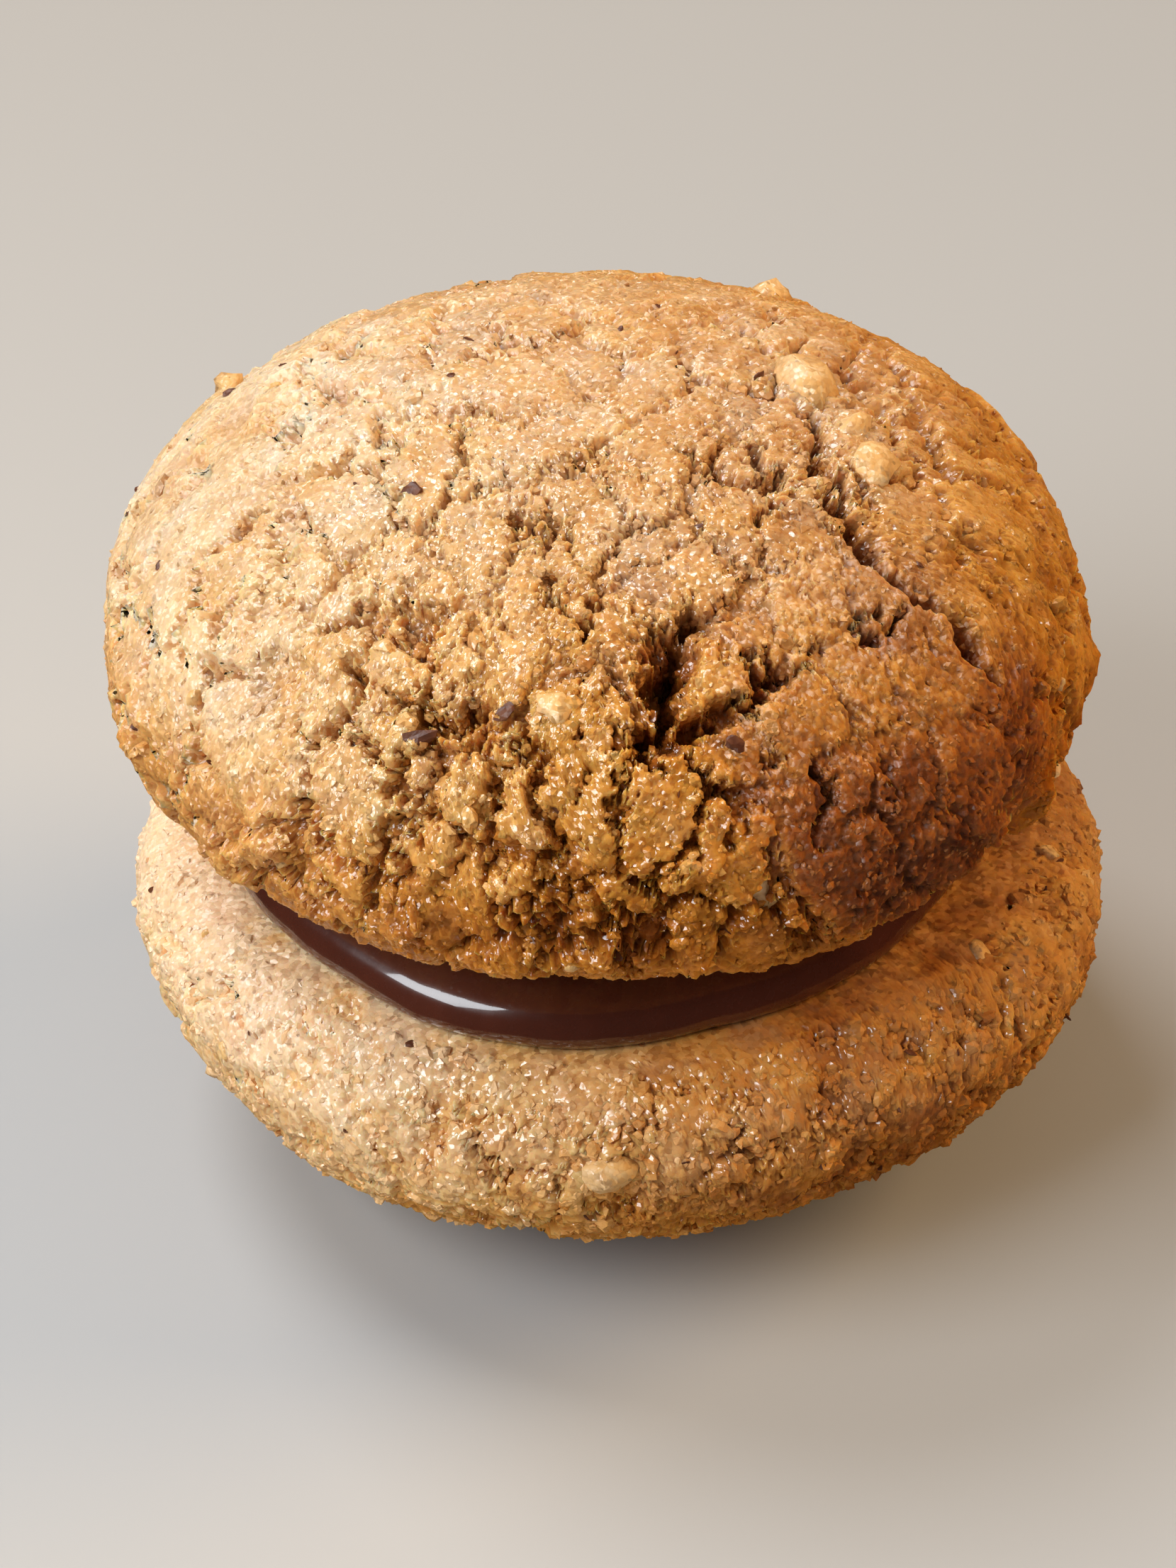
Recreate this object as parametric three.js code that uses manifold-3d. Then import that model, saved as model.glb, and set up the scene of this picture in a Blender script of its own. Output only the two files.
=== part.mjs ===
// A hazelnut sandwich cookie: two cracked, domed nut biscuits, flat face to flat face on a disc of chocolate.
// Millimetres, +Z up. The origin is on the table, under the middle of the cookie, and -Y is the front.
import * as THREE from "three";
import { mergeVertices } from "three/addons/utils/BufferGeometryUtils.js";
import Module from "manifold-3d";

const wasm = await Module();
wasm.setup();

// Driving dimensions. A biscuit is a flat face, a round under-rim to its widest circle and an elliptic dome.
// The filling's side runs from its tucked-in bottom edge up, as [inset in feet, share of the thickness].
const FILLING_THICKNESS = 3.4;
const FILLING_RADIUS = 13.4;
const FILLING_FOOT = 0.7;
const FILLING_TUCK = 0.25;
const FILLING_SIDE = [[0, 0.14], [0.6, 0.3], [0.75, 0.55], [1.1, 0.85], [1.6, 1]];
const FILLING_STEPS = { up: 7, round: 60 };
const FILLING_LEAN = { share: 0.04, azimuth: -120 };
const FILLING_LOBE = { share: 0.06, azimuth: -104, width: 20 };
const FILLING_RIPPLE = { share: 0.005, waves: 5 };
const PRESSED_FLAT = 0.4;
const TOP = { radius: 17.1, rim: 3.9, dome: 9.5, flat: 14.0, x: -0.3, y: 0.2, detail: 19, channel: 11 };
const LOWER = { radius: 17.3, rim: 3.2, dome: 8.5, flat: 14.2, x: 0.4, y: -0.2, detail: 13, channel: 23 };

// Relief of the crumb: broad lumps, and crags that stand higher or lower than their neighbours, with grooves
// between them. The crags are boldest at the front, and the relief dies away on the under-rim, before the
// flat face.
const LUMP_SIZE = 8.5;
const LUMP_HEIGHT = 0.4;
const CRAG_SIZE = 3.5;
const CRAG_HEIGHT = 0.75;
const CRAG_LIFT = 0.25;
const CRAG_GROOVE = 0.6;
const GROOVE_SHARE = 0.3;
const CRAG_STRETCH = 1.5;
const EDGE_WANDER = 0.5;
const WANDER_SIZE = 1.5;
const BACK_CRAG = 0.55;
const BACK_TO_FRONT = [-6, 8];
const RELIEF_ENDS = [125, 178];
TOP.crag = 1;
LOWER.crag = 0.62;

// The front right of the upper dome is one smooth, close-grained plate.
const PLATE = { azimuth: -52, lean: 66, middle: 5.2, reach: 7.5, keeps: 0.3 };

// Cracks as [width, depth, points...]. A point is [azimuth, lean] in degrees: azimuth -90 is the front,
// lean is 0 at the top of the dome and 90 on the widest circle.
TOP.cracks = [
  [2.1, 2.6, [-77, 42], [-81, 50], [-83, 61]],
  [1.5, 1.2, [-80, 57], [-68, 52], [-46, 49]],
  [1.9, 1.5, [-12, 25], [-34, 34], [-41, 49], [-37, 58], [-38, 69]],
  [1.4, 1.5, [-104, 26], [-96, 36], [-92, 43]],
  [2.0, 1.4, [-150, 40], [-142, 52], [-130, 61]],
  [1.4, 1.3, [-125, 53], [-113, 57], [-104, 56]],
  [1.2, 1.0, [-105, 57], [-106, 66]],
  [1.3, 1.1, [-99, 64], [-105, 73], [-107, 83]],
  [1.3, 1.1, [-89, 59], [-91, 67], [-97, 79]],
  [1.3, 1.0, [-76, 68], [-76, 75], [-81, 83]],
  [1.1, 0.9, [-66, 66], [-66, 77]],
  [1.8, 1.2, [-168, 23], [-157, 28]],
  [1.8, 1.1, [138, 11], [158, 17]],
];
LOWER.cracks = [[1.2, 0.9, [-75, 100], [-79, 74]]];

// A crack is at its full depth within this share of its half width.
const CRACK_FLOOR = 0.25;

// More cracks run round the rest of each dome by a seeded rule: how many, and between which azimuths. Length
// and lean are in degrees, and a crack's width and depth vary together by its scale.
const SEEDED_CRACK = { width: 1.4, depth: 0.9, length: 22 };
const SEEDED_LEAN = { least: 22, span: 52 };
const SEEDED_SCALE = { least: 0.7, span: 0.6 };
Object.assign(TOP, { moreCracks: 9, from: 0, to: 195 });
Object.assign(LOWER, { moreCracks: 14, from: 0, to: 360 });

// Chopped hazelnut that stands out of the crumb, as [size, azimuth, lean]. A chip is flatter than it is long.
const CHIP_SHAPE = [1.15, 0.9, 0.75];
const CHIP_SINK = 0.12;
TOP.nuts = [
  [2.6, 8, 25],
  [1.6, -21, 34],
  [1.2, -12, 30],
  [1.2, -96, 53],
  [1.7, -73, 86],
  [1.5, 60, 48],
  [1.4, 150, 60],
  [1.5, 105, 76],
];
LOWER.nuts = [
  [1.7, -92, 104],
  [1.6, -30, 62],
  [1.7, 70, 66],
  [1.6, 160, 70],
];

// Plain colours of the three pieces, and how near two corners of a mesh have to be to count as one.
const BROWNED_CRUMB = { color: 0xb67c3c, roughness: 0.75 };
const PALE_CRUMB = { color: 0xc08a4c, roughness: 0.75 };
const CHOCOLATE = { color: 0x3b211c, roughness: 0.25 };
const SAME_CORNER = 1e-3;

const rad = THREE.MathUtils.degToRad;
const fadeIn = THREE.MathUtils.smoothstep;

// A repeatable number from 0 to 1 for a lattice cell.
function cellRandom(i, j, k, channel) {
  let h = Math.imul(i, 0x8da6b343) ^ Math.imul(j, 0xd8163841);
  h ^= Math.imul(k, 0xcb1ab31f) ^ Math.imul(channel, 0x165667b1);
  h = Math.imul(h ^ (h >>> 15), 0x2c1b3c6d);
  h = Math.imul(h ^ (h >>> 12), 0x297a2d39);
  return ((h ^ (h >>> 15)) >>> 0) / 2 ** 32;
}

// Smooth noise from -1 to 1: lattice values blended by a smooth step along each axis.
function smoothNoise(p, size, channel) {
  const cell = [p.x, p.y, p.z].map((c) => Math.floor(c / size));
  const share = [p.x, p.y, p.z].map((c, axis) => fadeIn(c / size - cell[axis], 0, 1));
  let sum = 0;
  for (let corner = 0; corner < 8; corner++) {
    const step = [corner & 1, (corner >> 1) & 1, corner >> 2];
    const weight = step.reduce((w, s, axis) => w * (s ? share[axis] : 1 - share[axis]), 1);
    sum += weight * cellRandom(cell[0] + step[0], cell[1] + step[1], cell[2] + step[2], channel);
  }
  return 2 * sum - 1;
}

// The point shifted sideways by noise, so that what is drawn around it gets a ragged edge.
function wander(p, channel) {
  const shift = [1, 2, 3].map((axis) => EDGE_WANDER * smoothNoise(p, WANDER_SIZE, channel + axis));
  return p.clone().add(new THREE.Vector3(...shift));
}

// Crags are the cells nearest to one scattered point each. Gives the cell's own random number, and how far
// the point is from the cell's edge as a share of the cell size.
function cragAt(p, channel) {
  const q = [(p.x * CRAG_STRETCH) / CRAG_SIZE, p.y / CRAG_SIZE, p.z / CRAG_SIZE];
  const cell = q.map(Math.floor);
  let nearest = Infinity;
  let second = Infinity;
  let level = 0;
  for (let n = 0; n < 27; n++) {
    const c = [cell[0] + (n % 3) - 1, cell[1] + (Math.floor(n / 3) % 3) - 1, cell[2] + Math.floor(n / 9) - 1];
    const away = c.map((at, axis) => at + cellRandom(...c, channel + axis) - q[axis]);
    const distance = Math.hypot(...away);
    if (distance < nearest) {
      second = nearest;
      nearest = distance;
      level = cellRandom(...c, channel + 3);
    } else if (distance < second) {
      second = distance;
    }
  }
  return { level, edge: second - nearest };
}

// A point of a biscuit's plain form and its outward normal. The flat face is at z = 0 and the dome points up.
function plainForm(form, azimuth, lean) {
  const past = Math.max(lean - 90, 0);
  const onDome = lean <= 90;
  const turn = rad(onDome ? lean : Math.min(past, 90));
  const wide = onDome ? form.radius : form.radius - form.flat;
  const high = onDome ? form.dome : form.rim;
  const out = onDome ? Math.sin(turn) : Math.cos(turn);
  const up = onDome ? Math.cos(turn) : -Math.sin(turn);
  const inward = past > 90 ? 1 - (past - 90) / 90 : 1;
  const r = (onDome ? 0 : form.flat) * inward + wide * out;
  const normal = new THREE.Vector3(out / wide, 0, up / high).normalize();
  const point = new THREE.Vector3(r, 0, form.rim + high * up);
  const spin = new THREE.Matrix4().makeRotationZ(rad(azimuth));
  return { point: point.applyMatrix4(spin), normal: normal.transformDirection(spin) };
}

// The form's own cracks and the seeded ones, each as straight runs between points on the plain form.
function crackRuns(form) {
  const seeded = [];
  for (let n = 0; n < form.moreCracks; n++) {
    const roll = [0, 1, 2, 3].map((draw) => cellRandom(n, draw, 0, form.channel + 40));
    const azimuth = form.from + ((form.to - form.from) * (n + roll[0])) / form.moreCracks;
    const lean = SEEDED_LEAN.least + SEEDED_LEAN.span * roll[1];
    const heading = Math.PI * roll[2];
    const { width, depth, length } = SEEDED_CRACK;
    const end = [azimuth + length * Math.cos(heading), lean + length * Math.sin(heading)];
    const scale = SEEDED_SCALE.least + SEEDED_SCALE.span * roll[3];
    seeded.push([width * scale, depth * scale, [azimuth, lean], end]);
  }
  return [...form.cracks, ...seeded].map(([width, depth, ...points]) => {
    const path = points.map(([azimuth, lean]) => plainForm(form, azimuth, lean).point);
    const runs = path.slice(1).map((end, n) => new THREE.Line3(path[n], end));
    return { width, depth, runs };
  });
}

// How deep the cracks cut at a point: full depth on a crack's floor, none past its half width.
function crackCut(p, cracks) {
  const foot = new THREE.Vector3();
  let cut = 0;
  for (const { width, depth, runs } of cracks) {
    const distance = Math.min(...runs.map((run) => run.closestPointToPoint(p, true, foot).distanceTo(p)));
    cut = Math.max(cut, depth * (1 - fadeIn(distance / (width / 2), CRACK_FLOOR, 1)));
  }
  return cut;
}

// Height of the relief over the plain form at a point.
function relief(form, p, lean) {
  const ragged = wander(p, form.channel + 10);
  const { level, edge } = cragAt(ragged, form.channel + 20);
  const onPlate = form.plate ? 1 - fadeIn(p.distanceTo(form.plate), PLATE.middle, PLATE.reach) : 0;
  const frontShare = BACK_CRAG + (1 - BACK_CRAG) * fadeIn(-p.y, ...BACK_TO_FRONT);
  const rough = form.crag * frontShare * (1 - (1 - PLATE.keeps) * onPlate);
  const groove = CRAG_GROOVE * (1 - fadeIn(edge, 0, GROOVE_SHARE));
  const crag = rough * (CRAG_LIFT + CRAG_HEIGHT * (level - 0.5) - groove);
  const lump = LUMP_HEIGHT * smoothNoise(p, LUMP_SIZE, form.channel);
  const remains = 1 - fadeIn(lean, ...RELIEF_ENDS);
  return remains * (lump + crag - crackCut(ragged, form.runs));
}

// A point of the biscuit's finished surface, with the normal of the plain form under it.
function crumbPoint(form, azimuth, lean) {
  const { point, normal } = plainForm(form, azimuth, lean);
  point.addScaledVector(normal, relief(form, point.clone(), lean));
  return { point, normal };
}

// A closed mesh with its shared corners merged, as a solid for joining.
function solidOf(geometry) {
  geometry.deleteAttribute("normal");
  geometry.deleteAttribute("uv");
  const merged = mergeVertices(geometry, SAME_CORNER);
  const vertProperties = merged.attributes.position.array;
  const triVerts = new Uint32Array(merged.index.array);
  return new wasm.Manifold(new wasm.Mesh({ numProp: 3, vertProperties, triVerts }));
}

function geometryOf(solid) {
  const mesh = solid.getMesh();
  const geometry = new THREE.BufferGeometry();
  geometry.setAttribute("position", new THREE.BufferAttribute(mesh.vertProperties, 3));
  geometry.setIndex(new THREE.BufferAttribute(mesh.triVerts, 1));
  geometry.computeVertexNormals();
  return geometry;
}

// The fall down a ball, in degrees, that matches each lean on the plain form. A step down the ball over the
// ball's radius there equals the step along the form over the form's radius there, so the triangles keep
// their shape.
function fallTable(form) {
  const WIDEST_FALL = 96;
  const LEAN_STEP = 0.5;
  const table = [];
  let last = plainForm(form, 0, LEAN_STEP).point;
  let sum = 0;
  for (let lean = LEAN_STEP; lean < 270; lean += LEAN_STEP) {
    const next = plainForm(form, 0, lean).point;
    sum += (2 * next.distanceTo(last)) / (next.x + last.x);
    table.push({ lean, sum });
    last = next;
  }
  const widest = table.find((row) => row.lean >= 90).sum;
  const start = Math.log(Math.tan(rad(WIDEST_FALL) / 2)) - widest;
  for (const row of table) row.fall = THREE.MathUtils.radToDeg(2 * Math.atan(Math.exp(row.sum + start)));
  return [{ lean: 0, fall: 0 }, ...table, { lean: 270, fall: 180 }];
}

// The lean at one fall, between the rows of the table.
function leanAt(table, fall) {
  const above = Math.max(table.findIndex((row) => row.fall >= fall), 1);
  const [a, b] = [table[above - 1], table[above]];
  return THREE.MathUtils.mapLinear(fall, a.fall, b.fall, a.lean, b.lean);
}

// A direction on the ball drawn towards the front, where the crags are boldest, by a rule that keeps small
// shapes.
function gathered(way) {
  const FRONT = new THREE.Vector3(0, -0.88, 0.47).normalize();
  const PULL = 0.28;
  const along = way.dot(FRONT);
  const ahead = (along + PULL) / (1 + PULL * along);
  const aside = way.clone().addScaledVector(FRONT, -along);
  return aside.setLength(Math.sqrt(Math.max(1 - ahead * ahead, 0))).addScaledVector(FRONT, ahead);
}

// A ball of even triangles is drawn over the plain form, and the relief then raises or sinks each corner.
function crumbShell(form) {
  const table = fallTable(form);
  const ball = new THREE.IcosahedronGeometry(1, form.detail);
  const at = ball.attributes.position;
  for (let n = 0; n < at.count; n++) {
    const way = gathered(new THREE.Vector3().fromBufferAttribute(at, n).normalize());
    const fall = THREE.MathUtils.radToDeg(Math.acos(THREE.MathUtils.clamp(way.z, -1, 1)));
    const azimuth = THREE.MathUtils.radToDeg(Math.atan2(way.y, way.x));
    const { point } = crumbPoint(form, azimuth, leanAt(table, fall));
    at.setXYZ(n, point.x, point.y, Math.max(point.z, 0));
  }
  return ball;
}

// One angular chip of nut, half sunk in the crumb, turned by its own number.
function nutChip(form, [size, azimuth, lean], number) {
  const { point, normal } = crumbPoint(form, azimuth, lean);
  const chip = new THREE.IcosahedronGeometry(size / 2, 0);
  chip.scale(...CHIP_SHAPE);
  chip.rotateZ(number);
  const stand = new THREE.Quaternion().setFromUnitVectors(new THREE.Vector3(0, 0, 1), normal);
  chip.applyQuaternion(stand);
  point.addScaledVector(normal, -CHIP_SINK * size);
  return solidOf(chip.translate(point.x, point.y, point.z));
}

// One biscuit: the crumb with its nut chips joined on. The dome points up, or down where it is turned over.
function biscuit(form, faceHeight, turnedOver) {
  form.runs = crackRuns(form);
  let solid = solidOf(crumbShell(form));
  form.nuts.forEach((nut, number) => (solid = solid.add(nutChip(form, nut, number))));
  const geometry = geometryOf(solid);
  if (turnedOver) {
    geometry.scale(1, 1, -1);
    const corners = geometry.index.array;
    for (let n = 0; n < corners.length; n += 3) [corners[n], corners[n + 1]] = [corners[n + 1], corners[n]];
  }
  geometry.translate(form.x, form.y, faceHeight);
  const z = geometry.attributes.position;
  for (let n = 0; n < z.count; n++) z.setZ(n, Math.max(z.getZ(n), 0));
  geometry.computeVertexNormals();
  return geometry;
}

// The filling spreads unevenly: its edge reaches further on the left than on the right, and furthest in one
// place left of the front.
function spread(azimuth) {
  const away = (azimuth - rad(FILLING_LOBE.azimuth)) / rad(FILLING_LOBE.width);
  const lobe = FILLING_LOBE.share * Math.exp(-away * away);
  const leftward = FILLING_LEAN.share * Math.cos(azimuth - rad(FILLING_LEAN.azimuth));
  return 1 + lobe + leftward + FILLING_RIPPLE.share * Math.cos(FILLING_RIPPLE.waves * azimuth);
}

// A disc of chocolate that runs right through, with a side that bulges above a foot on the lower biscuit.
function filling() {
  const high = FILLING_THICKNESS;
  const bottomEdge = new THREE.Vector2(FILLING_RADIUS - FILLING_TUCK, 0);
  const corners = FILLING_SIDE.map(
    ([inset, share]) => new THREE.Vector2(FILLING_RADIUS - inset * FILLING_FOOT, share * high),
  );
  const side = new THREE.SplineCurve([bottomEdge, ...corners]).getPoints(FILLING_STEPS.up);
  const profile = [new THREE.Vector2(0, 0), ...side, new THREE.Vector2(0, high)];
  const disc = new THREE.LatheGeometry(profile, FILLING_STEPS.round);
  disc.rotateX(Math.PI / 2);
  const at = disc.attributes.position;
  for (let n = 0; n < at.count; n++) {
    const reach = spread(Math.atan2(at.getY(n), at.getX(n)));
    at.setXYZ(n, at.getX(n) * reach, at.getY(n) * reach, at.getZ(n));
  }
  disc.computeVertexNormals();
  return disc;
}

function piece(name, geometry, finish) {
  const mesh = new THREE.Mesh(geometry, new THREE.MeshStandardMaterial({ ...finish, metalness: 0 }));
  mesh.name = name;
  return mesh;
}

TOP.plate = plainForm(TOP, PLATE.azimuth, PLATE.lean).point;
const lowerFace = LOWER.rim + LOWER.dome - PRESSED_FLAT;
const cookie = new THREE.Group();
const chocolate = piece("chocolate_filling", filling(), CHOCOLATE);
chocolate.position.set(0, 0, lowerFace);
cookie.add(
  piece("top_cookie", biscuit(TOP, lowerFace + FILLING_THICKNESS, false), BROWNED_CRUMB),
  chocolate,
  piece("bottom_cookie", biscuit(LOWER, lowerFace, true), PALE_CRUMB),
);

export default cookie;
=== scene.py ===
"""The looks of a hazelnut sandwich cookie: two crumbly biscuits with cracks, grains, chopped nut and
flecks of nut skin, and a glossy chocolate filling. Shapes are worked out in millimetres and go into the
meshes in metres. -Y is the front."""
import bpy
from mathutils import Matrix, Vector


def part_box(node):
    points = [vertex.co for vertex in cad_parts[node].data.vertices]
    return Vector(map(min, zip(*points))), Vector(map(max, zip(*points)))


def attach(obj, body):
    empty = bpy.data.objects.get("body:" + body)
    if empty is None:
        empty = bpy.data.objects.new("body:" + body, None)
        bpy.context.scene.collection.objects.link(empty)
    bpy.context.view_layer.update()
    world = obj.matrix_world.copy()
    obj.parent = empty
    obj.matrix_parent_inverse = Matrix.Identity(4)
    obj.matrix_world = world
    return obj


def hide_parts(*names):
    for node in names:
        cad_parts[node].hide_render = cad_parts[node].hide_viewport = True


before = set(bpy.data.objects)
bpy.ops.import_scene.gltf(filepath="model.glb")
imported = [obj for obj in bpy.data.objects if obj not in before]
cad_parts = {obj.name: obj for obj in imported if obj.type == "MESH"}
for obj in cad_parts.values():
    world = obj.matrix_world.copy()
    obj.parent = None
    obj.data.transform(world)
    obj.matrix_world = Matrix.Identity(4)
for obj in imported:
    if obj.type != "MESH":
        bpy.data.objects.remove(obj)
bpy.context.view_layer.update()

from types import SimpleNamespace

import bmesh
import bpy
import numpy as np
from mathutils import Matrix, Vector

MM = 0.001
LOWER_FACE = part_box("chocolate_filling")[0].z / MM
UPPER_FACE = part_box("chocolate_filling")[1].z / MM

# The plain forms of the solids: a flat face, a round under-rim to the widest circle and an elliptic dome.
TOP = SimpleNamespace(radius=17.1, rim=3.9, dome=9.5, flat=14.0, x=-0.3, y=0.2, up=1, channel=11)
LOWER = SimpleNamespace(radius=17.3, rim=3.2, dome=8.5, flat=14.2, x=0.4, y=-0.2, up=-1, channel=23)
TOP.face, LOWER.face = UPPER_FACE, LOWER_FACE
TOP.name, TOP.node, TOP.slot = "upper", "top_cookie", "browned_crumb"
LOWER.name, LOWER.node, LOWER.slot = "lower", "bottom_cookie", "pale_crumb"

# Each noise and each scatter of cells has its own number, which is added to the biscuit's channel.
DRAW = SimpleNamespace(
    lumps=0, edges=10, crags=20, seeded_cracks=40, parting=50, loosening=52, crack_widths=55, tears=60,
    clump_tears=64, crack_wander=66, crack_tears=67, clumps=70, grain_wander=75, chunk_wander=76, grains=80,
    grit=85, pits=90, chunks=95, fringe=97)

# Zones: the front, the calm left side, the columns at the front, the plate at the front right of the upper
# dome and the right side, away from the light, where shade is painted. Azimuth -90 is the front. Lean is 0
# at the top of the dome and 90 on the widest circle.
BACK_TO_FRONT = (-6, 8)
LEFT_SIDE, LEFT_CALM = (5, 13), 0.5
COLUMNS = SimpleNamespace(
    azimuth=-95, half_width=(26, 46), leans=(34, 50), shallow=0.45, shallow_leans=(55, 64))
PLATE = SimpleNamespace(azimuth=-52, lean=66, middle=5.2, reach=7.5, keeps=0.3)
RIGHT_SHADE_SIDE = (-16, 10)

# How ragged edges are, as (reach, size) of the noise that shifts them, and how far they step along whole
# grains and chunks, as a share of a grain's or a chunk's size.
EDGE_WANDER, TEAR = (0.5, 1.5), (0.24, 0.6)
CRACK_WANDER, CRACK_TEAR = (0.45, 2.4), (0.3, 0.8)
CLUMP_TEAR = (0.12, 0.35)
GRAIN_WANDER, CHUNK_WANDER = (0.05, 0.2), (0.1, 0.4)
GRAIN_SNAP = 0.7
CHUNK = SimpleNamespace(size=0.5, snap=0.6)
CRACK_SNAP = 0.9

# Broad relief: lumps, a fringe that hangs from the upper biscuit's front, and crags with grooves between
# them.
LUMP = SimpleNamespace(size=8.5, height=0.4)
FRINGE = SimpleNamespace(size=1.5, height=0.75, less=0.15, low=(70, 86), high=(112, 135))
CRAG = SimpleNamespace(
    size=3.5, height=0.3, tilt=0.14, stretch=1.4, at_back=0.7, round=0.05, round_to=0.3, groove=0.75,
    groove_ends=(0.03, 0.14), rim_start=(0.06, 0.12), rim_end=(0.12, 0.3))
PARTING = SimpleNamespace(start=0.45, waver=0.9, size=2.0, columns=0.4, low=0.15, low_leans=(55, 75))
RELIEF_ENDS = (125, 178)
TOP.crag, LOWER.crag = 1.0, 0.62

# Fine relief: clumps with crevices between them, domed grains, grit and pits.
CLUMP = SimpleNamespace(
    height=0.12, stretch=1.15, crevice=0.28, crevice_ends=(0.05, 0.24), loose=0.05, loose_waver=1.2,
    loose_size=1.3, at_back=0.65, off_plate=0.3)
GRAIN_RELIEF = SimpleNamespace(height=0.1, uneven=0.6)
GRIT = 0.012
PIT = SimpleNamespace(size=1.05, depth=0.4, share=0.3, ends=(0.1, 0.28), off_plate=0.4)
FINE_RELIEF_ENDS = (168, 184)
TOP.clump_size, LOWER.clump_size = 1.15, 0.8
TOP.clumpy, LOWER.clumpy = 1.0, 0.9
TOP.grain_size, LOWER.grain_size = 0.25, 0.46
TOP.pits, LOWER.pits = 0.8, 1.0

# The crust's grid: how fine it is, how far it is drawn to the front, where to, and the fall on a ball that
# meets the widest circle.
CRUST_GRID = 315
GRID_PULL = 0.6
TOP.grid_front, TOP.widest_fall = (0, -1, 0), 110
LOWER.grid_front, LOWER.widest_fall = (0, -0.98, -0.2), 98

# Cracks as (width, depth, points). A point is (azimuth, lean) in degrees.
TOP.cracks = [
    (2.0, 2.2, [(-77, 42), (-81, 50), (-83, 61)]),
    (1.5, 1.2, [(-80, 57), (-68, 52), (-46, 49)]),
    (1.9, 1.5, [(-12, 25), (-34, 34), (-41, 49), (-37, 58), (-38, 69)]),
    (1.4, 1.5, [(-104, 26), (-96, 36), (-92, 43)]),
    (2.6, 0.7, [(-150, 40), (-142, 52), (-130, 61)]),
    (1.4, 1.3, [(-125, 53), (-113, 57), (-104, 56)]),
    (1.2, 1.0, [(-105, 57), (-106, 66)]),
    (1.3, 1.1, [(-99, 64), (-105, 73), (-107, 83)]),
    (1.3, 1.1, [(-89, 59), (-91, 67), (-97, 79)]),
    (1.3, 1.0, [(-76, 68), (-76, 75), (-81, 83)]),
    (1.1, 0.9, [(-66, 66), (-66, 77)]),
    (2.2, 0.6, [(-168, 23), (-157, 28)]),
    (1.8, 1.1, [(138, 11), (158, 17)]),
]
LOWER.cracks = [(1.2, 0.9, [(-75, 100), (-79, 74)])]
CRACK_WIDTH = SimpleNamespace(start=0.9, waver=0.55, size=1.5, least=0.4, ends=(0.15, 0.75))

# More cracks by a seeded rule: how many, between which azimuths, from which lean, how long and how large.
SEEDED_CRACK = SimpleNamespace(
    width=1.4, depth=0.9, length=22, least_lean=22, lean_span=52, least_scale=0.7, scale_span=0.6)
TOP.more_cracks, TOP.crack_arc = 9, (0, 195)
LOWER.more_cracks, LOWER.crack_arc = 14, (0, 360)

# Chopped hazelnut as (size, azimuth, lean), where the solids have it, and how many loose chips there are
# besides.
TOP.nuts = [
    (2.6, 8, 25), (1.6, -21, 34), (1.2, -12, 30), (1.2, -96, 53),
    (1.7, -73, 86), (1.5, 60, 48), (1.4, 150, 60), (1.5, 105, 76),
]
LOWER.nuts = [(1.7, -92, 104), (1.6, -30, 62), (1.7, 70, 66), (1.6, 160, 70)]
TOP.loose_nuts, LOWER.loose_nuts = 12, 30

# Flecks of dark nut skin, in the same way.
TOP.skins = [(0.85, -112, 60), (0.65, -102, 54), (0.6, -74, 60), (0.75, 8, 10), (0.65, -136, 28)]
LOWER.skins = []
TOP.loose_skins, LOWER.loose_skins = 60, 70

# Kinds of scattered lumps: proportions, rise over the crust as a share of the size, lean from its normal,
# unevenness, and how finely the ball is split.
CRUMB = SimpleNamespace(shape=(1.2, 0.95, 0.75), rise=-0.26, tilt=0.45, uneven=0.16, splits=2)
GRAIN = SimpleNamespace(shape=(1.2, 0.95, 0.75), rise=-0.26, tilt=0.45, uneven=0.16, splits=1)
NUT_CHIP = SimpleNamespace(shape=(1.2, 0.85, 0.7), rise=-0.15, tilt=0.3, uneven=0.14, splits=2)
LOOSE_NUT = SimpleNamespace(shape=(1.2, 0.9, 0.7), rise=-0.2, tilt=0.4, uneven=0.14, splits=2)
NUT_SKIN = SimpleNamespace(shape=(1.2, 0.8, 0.45), rise=-0.08, tilt=0.4, uneven=0.2, splits=2)
LOOSE_SKIN = SimpleNamespace(shape=(1.3, 0.8, 0.25), rise=0.0, tilt=0.4, uneven=0.14, splits=2)
CRUMB.mostly_small, GRAIN.mostly_small = 2.2, 1.0
LOOSE_NUT.sizes, LOOSE_SKIN.sizes = (0.4, 0.85), (0.18, 0.42)
TOP.crumbs, TOP.crumb_sizes = 500, (0.35, 0.8)
LOWER.crumbs, LOWER.crumb_sizes = 1500, (0.35, 0.8)
TOP.grains, TOP.grain_sizes = 9900, (0.16, 0.34)
LOWER.grains, LOWER.grain_sizes = 7000, (0.2, 0.5)
SCATTER = SimpleNamespace(at_back=0.4, off_plate=0.4, off_sunk=0.9, tone_spread=0.1)
OPEN_TO, CLEAR_OF_FLOOR = 165, 0.7
SEED = 7
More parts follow.
